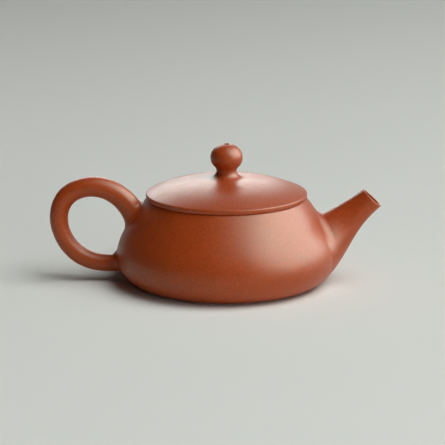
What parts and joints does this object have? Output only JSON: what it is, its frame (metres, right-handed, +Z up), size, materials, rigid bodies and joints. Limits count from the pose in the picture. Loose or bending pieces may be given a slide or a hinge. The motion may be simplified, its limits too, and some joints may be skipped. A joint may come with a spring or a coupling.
{
  "type": "clay teapot",
  "caption": "Small flat teapot of unglazed red-brown clay with a loop handle, a tapered spout behind a pierced strainer, and a lift-off domed lid with a vented ball knob.",
  "frame": {"origin": "centre of the flat base, on the table", "axes": "+X towards the spout, handle towards -X, +Z up along the pot's axis"},
  "size_m": [0.1354, 0.09, 0.0572],
  "materials": {
    "clay": "unglazed, burnished to a satin",
    "inner_clay": "unglazed, left matt inside and underneath"
  },
  "bodies": {
    "pot": {"base_disc": "inner_clay", "body_wall": "clay", "mouth_disc": "clay", "spout": "clay", "strainer": "inner_clay", "handle": "clay"},
    "lid": {"lid_disc": "clay", "lid_flange": "inner_clay", "lid_knob": "clay"}
  },
  "joints": [
    {"name": "lid_lift", "type": "slide", "parent": "pot", "child": "lid", "axis": [0, 0, 1], "range_m": [0, 0.06]}
  ]
}
